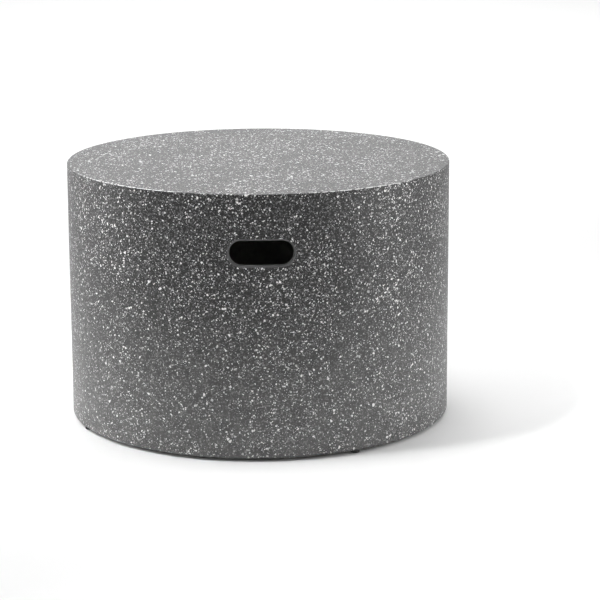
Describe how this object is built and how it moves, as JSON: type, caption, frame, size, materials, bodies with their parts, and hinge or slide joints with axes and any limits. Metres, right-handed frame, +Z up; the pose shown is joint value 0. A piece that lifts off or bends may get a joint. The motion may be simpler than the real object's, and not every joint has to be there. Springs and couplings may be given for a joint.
{
  "type": "side table",
  "caption": "Round hollow drum side table for outdoors, cast in dark terrazzo in one piece, with two hand slots in its wall and levelling feet screwed into its rim.",
  "frame": {"origin": "on the floor under the middle of the drum, the bottom centre of the bounding box", "axes": "+Z up, from the floor to the table top; -Y out of the front hand slot, +Y out of the rear one; +X to the right of someone who faces the front slot"},
  "size_m": [0.6, 0.6, 0.405],
  "materials": {
    "terrazzo": "dark grey fibre-reinforced concrete with white and light grey chips, ground smooth and sealed to a low sheen; raw casting inside",
    "insert_brass": "turned brass, dull",
    "stem_steel": "zinc plated, threaded",
    "foot_nylon": "black moulded nylon, fine matt grain",
    "tread_rubber": "black rubber, matt"
  },
  "bodies": {
    "drum": {"table_shell": "terrazzo", "insert_left": "insert_brass", "insert_front": "insert_brass", "insert_right": "insert_brass", "insert_back": "insert_brass"},
    "tread_left": {"tread_left": "tread_rubber"},
    "foot_left": {"stem_left": "stem_steel", "pad_left": "foot_nylon"},
    "tread_front": {"tread_front": "tread_rubber"},
    "foot_front": {"stem_front": "stem_steel", "pad_front": "foot_nylon"},
    "tread_right": {"tread_right": "tread_rubber"},
    "foot_right": {"stem_right": "stem_steel", "pad_right": "foot_nylon"},
    "tread_back": {"tread_back": "tread_rubber"},
    "foot_back": {"stem_back": "stem_steel", "pad_back": "foot_nylon"}
  },
  "joints": [
    {"name": "height_left", "type": "slide", "parent": "drum", "child": "tread_left", "axis": [0, 0, 1], "range_m": [-0.01, 0]},
    {"name": "turn_left", "type": "hinge", "parent": "tread_left", "child": "foot_left", "pos_m": [-0.26787, -0.1137, 0], "axis": [0, 0, 1], "range_deg": [-3600, 0]},
    {"name": "height_front", "type": "slide", "parent": "drum", "child": "tread_front", "axis": [0, 0, 1], "range_m": [-0.01, 0]},
    {"name": "turn_front", "type": "hinge", "parent": "tread_front", "child": "foot_front", "pos_m": [0.13885, -0.25574, 0], "axis": [0, 0, 1], "range_deg": [-3600, 0]},
    {"name": "height_right", "type": "slide", "parent": "drum", "child": "tread_right", "axis": [0, 0, 1], "range_m": [-0.01, 0]},
    {"name": "turn_right", "type": "hinge", "parent": "tread_right", "child": "foot_right", "pos_m": [0.26787, 0.1137, 0], "axis": [0, 0, 1], "range_deg": [-3600, 0]},
    {"name": "height_back", "type": "slide", "parent": "drum", "child": "tread_back", "axis": [0, 0, 1], "range_m": [-0.01, 0]},
    {"name": "turn_back", "type": "hinge", "parent": "tread_back", "child": "foot_back", "pos_m": [-0.13885, 0.25574, 0], "axis": [0, 0, 1], "range_deg": [-3600, 0]}
  ],
  "couplings": [
    {"joint": "turn_left", "follows": "height_left", "rad_per_m": 6283.2},
    {"joint": "turn_front", "follows": "height_front", "rad_per_m": 6283.2},
    {"joint": "turn_right", "follows": "height_right", "rad_per_m": 6283.2},
    {"joint": "turn_back", "follows": "height_back", "rad_per_m": 6283.2}
  ]
}
